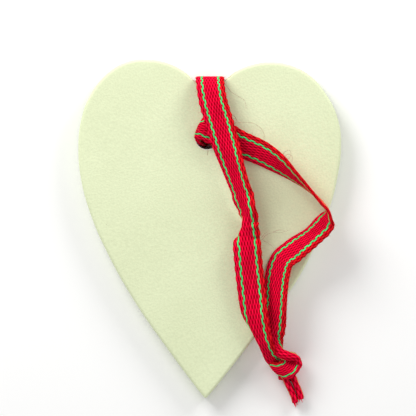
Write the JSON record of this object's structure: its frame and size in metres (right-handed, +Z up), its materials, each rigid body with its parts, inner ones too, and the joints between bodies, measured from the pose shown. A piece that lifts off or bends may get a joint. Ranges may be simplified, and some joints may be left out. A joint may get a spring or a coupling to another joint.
{
  "type": "wooden heart ornament",
  "caption": "Flat painted wooden heart with a drilled hanging hole and a woven ribbon loop threaded through it and knotted, lying on its back.",
  "frame": {"origin": "under the middle of the heart, on the surface that the ornament lies on", "axes": "+Y from the heart's tip towards the notch between its lobes, +Z up out of the painted front, +X towards the lobe that the ribbon loop lies over"},
  "size_m": [0.0762, 0.0996, 0.0159],
  "materials": {
    "painted_wood": "matt pale green brushed paint over sanded wood",
    "woven_ribbon": "matt red cotton warps with a green warp line near each edge"
  },
  "bodies": {
    "root": {"heart": "painted_wood", "ribbon": "woven_ribbon"}
  },
  "joints": []
}
